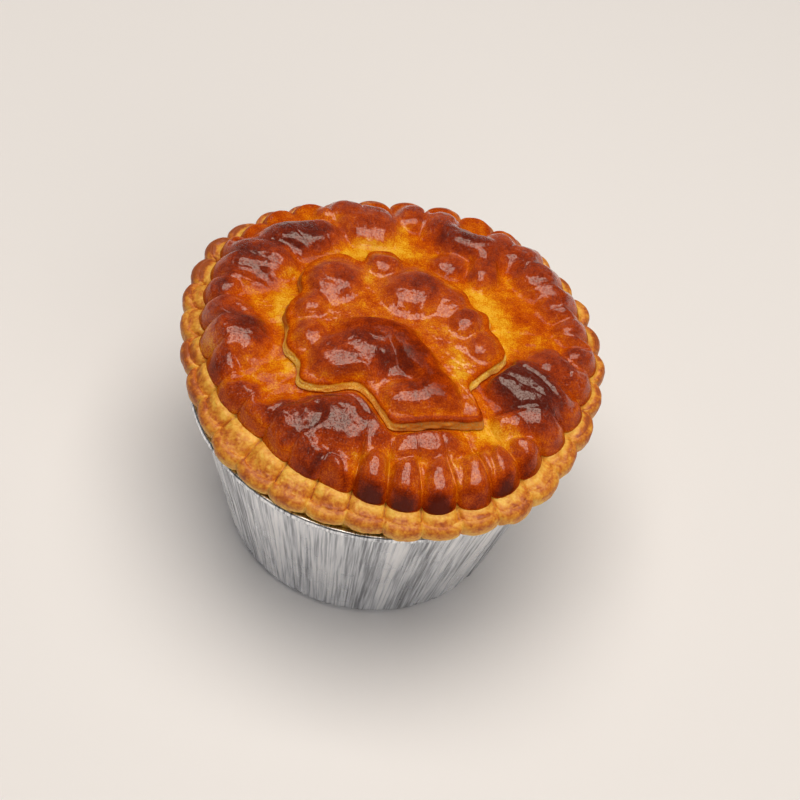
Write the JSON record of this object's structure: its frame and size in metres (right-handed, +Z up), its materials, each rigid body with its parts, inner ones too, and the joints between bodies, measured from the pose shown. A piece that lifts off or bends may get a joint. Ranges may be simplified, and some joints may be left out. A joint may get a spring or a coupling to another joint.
{
  "type": "mini seafood pie",
  "caption": "Small round deep pie in its own creased foil cup, with a crimped pastry edge, a blistered glazed lid and a lobed dough cut-out on top; uncut, rests flat",
  "frame": {"origin": "Centre of the underside of the foil cup, on the surface the pie stands on", "axes": "+Z is up, out of the lid. The side towards the camera in the picture faces -Y, and the right-hand side of the picture is +X."},
  "size_m": [0.0973, 0.0976, 0.0632],
  "materials": {
    "foil": "bright thin foil with fine upright creases",
    "pale_pastry": "matte, grainy, pale golden baked dough",
    "glazed_lid": "glossy egg wash, yellow in the hollows and dark brown on the blisters",
    "glazed_cutout": "glossy egg wash, scorched over the middle, with a matte pale cut edge"
  },
  "bodies": {
    "root": {"foil_cup": "foil", "pastry_case": "pale_pastry", "pastry_lid": "glazed_lid", "pastry_cutout": "glazed_cutout"}
  },
  "joints": []
}
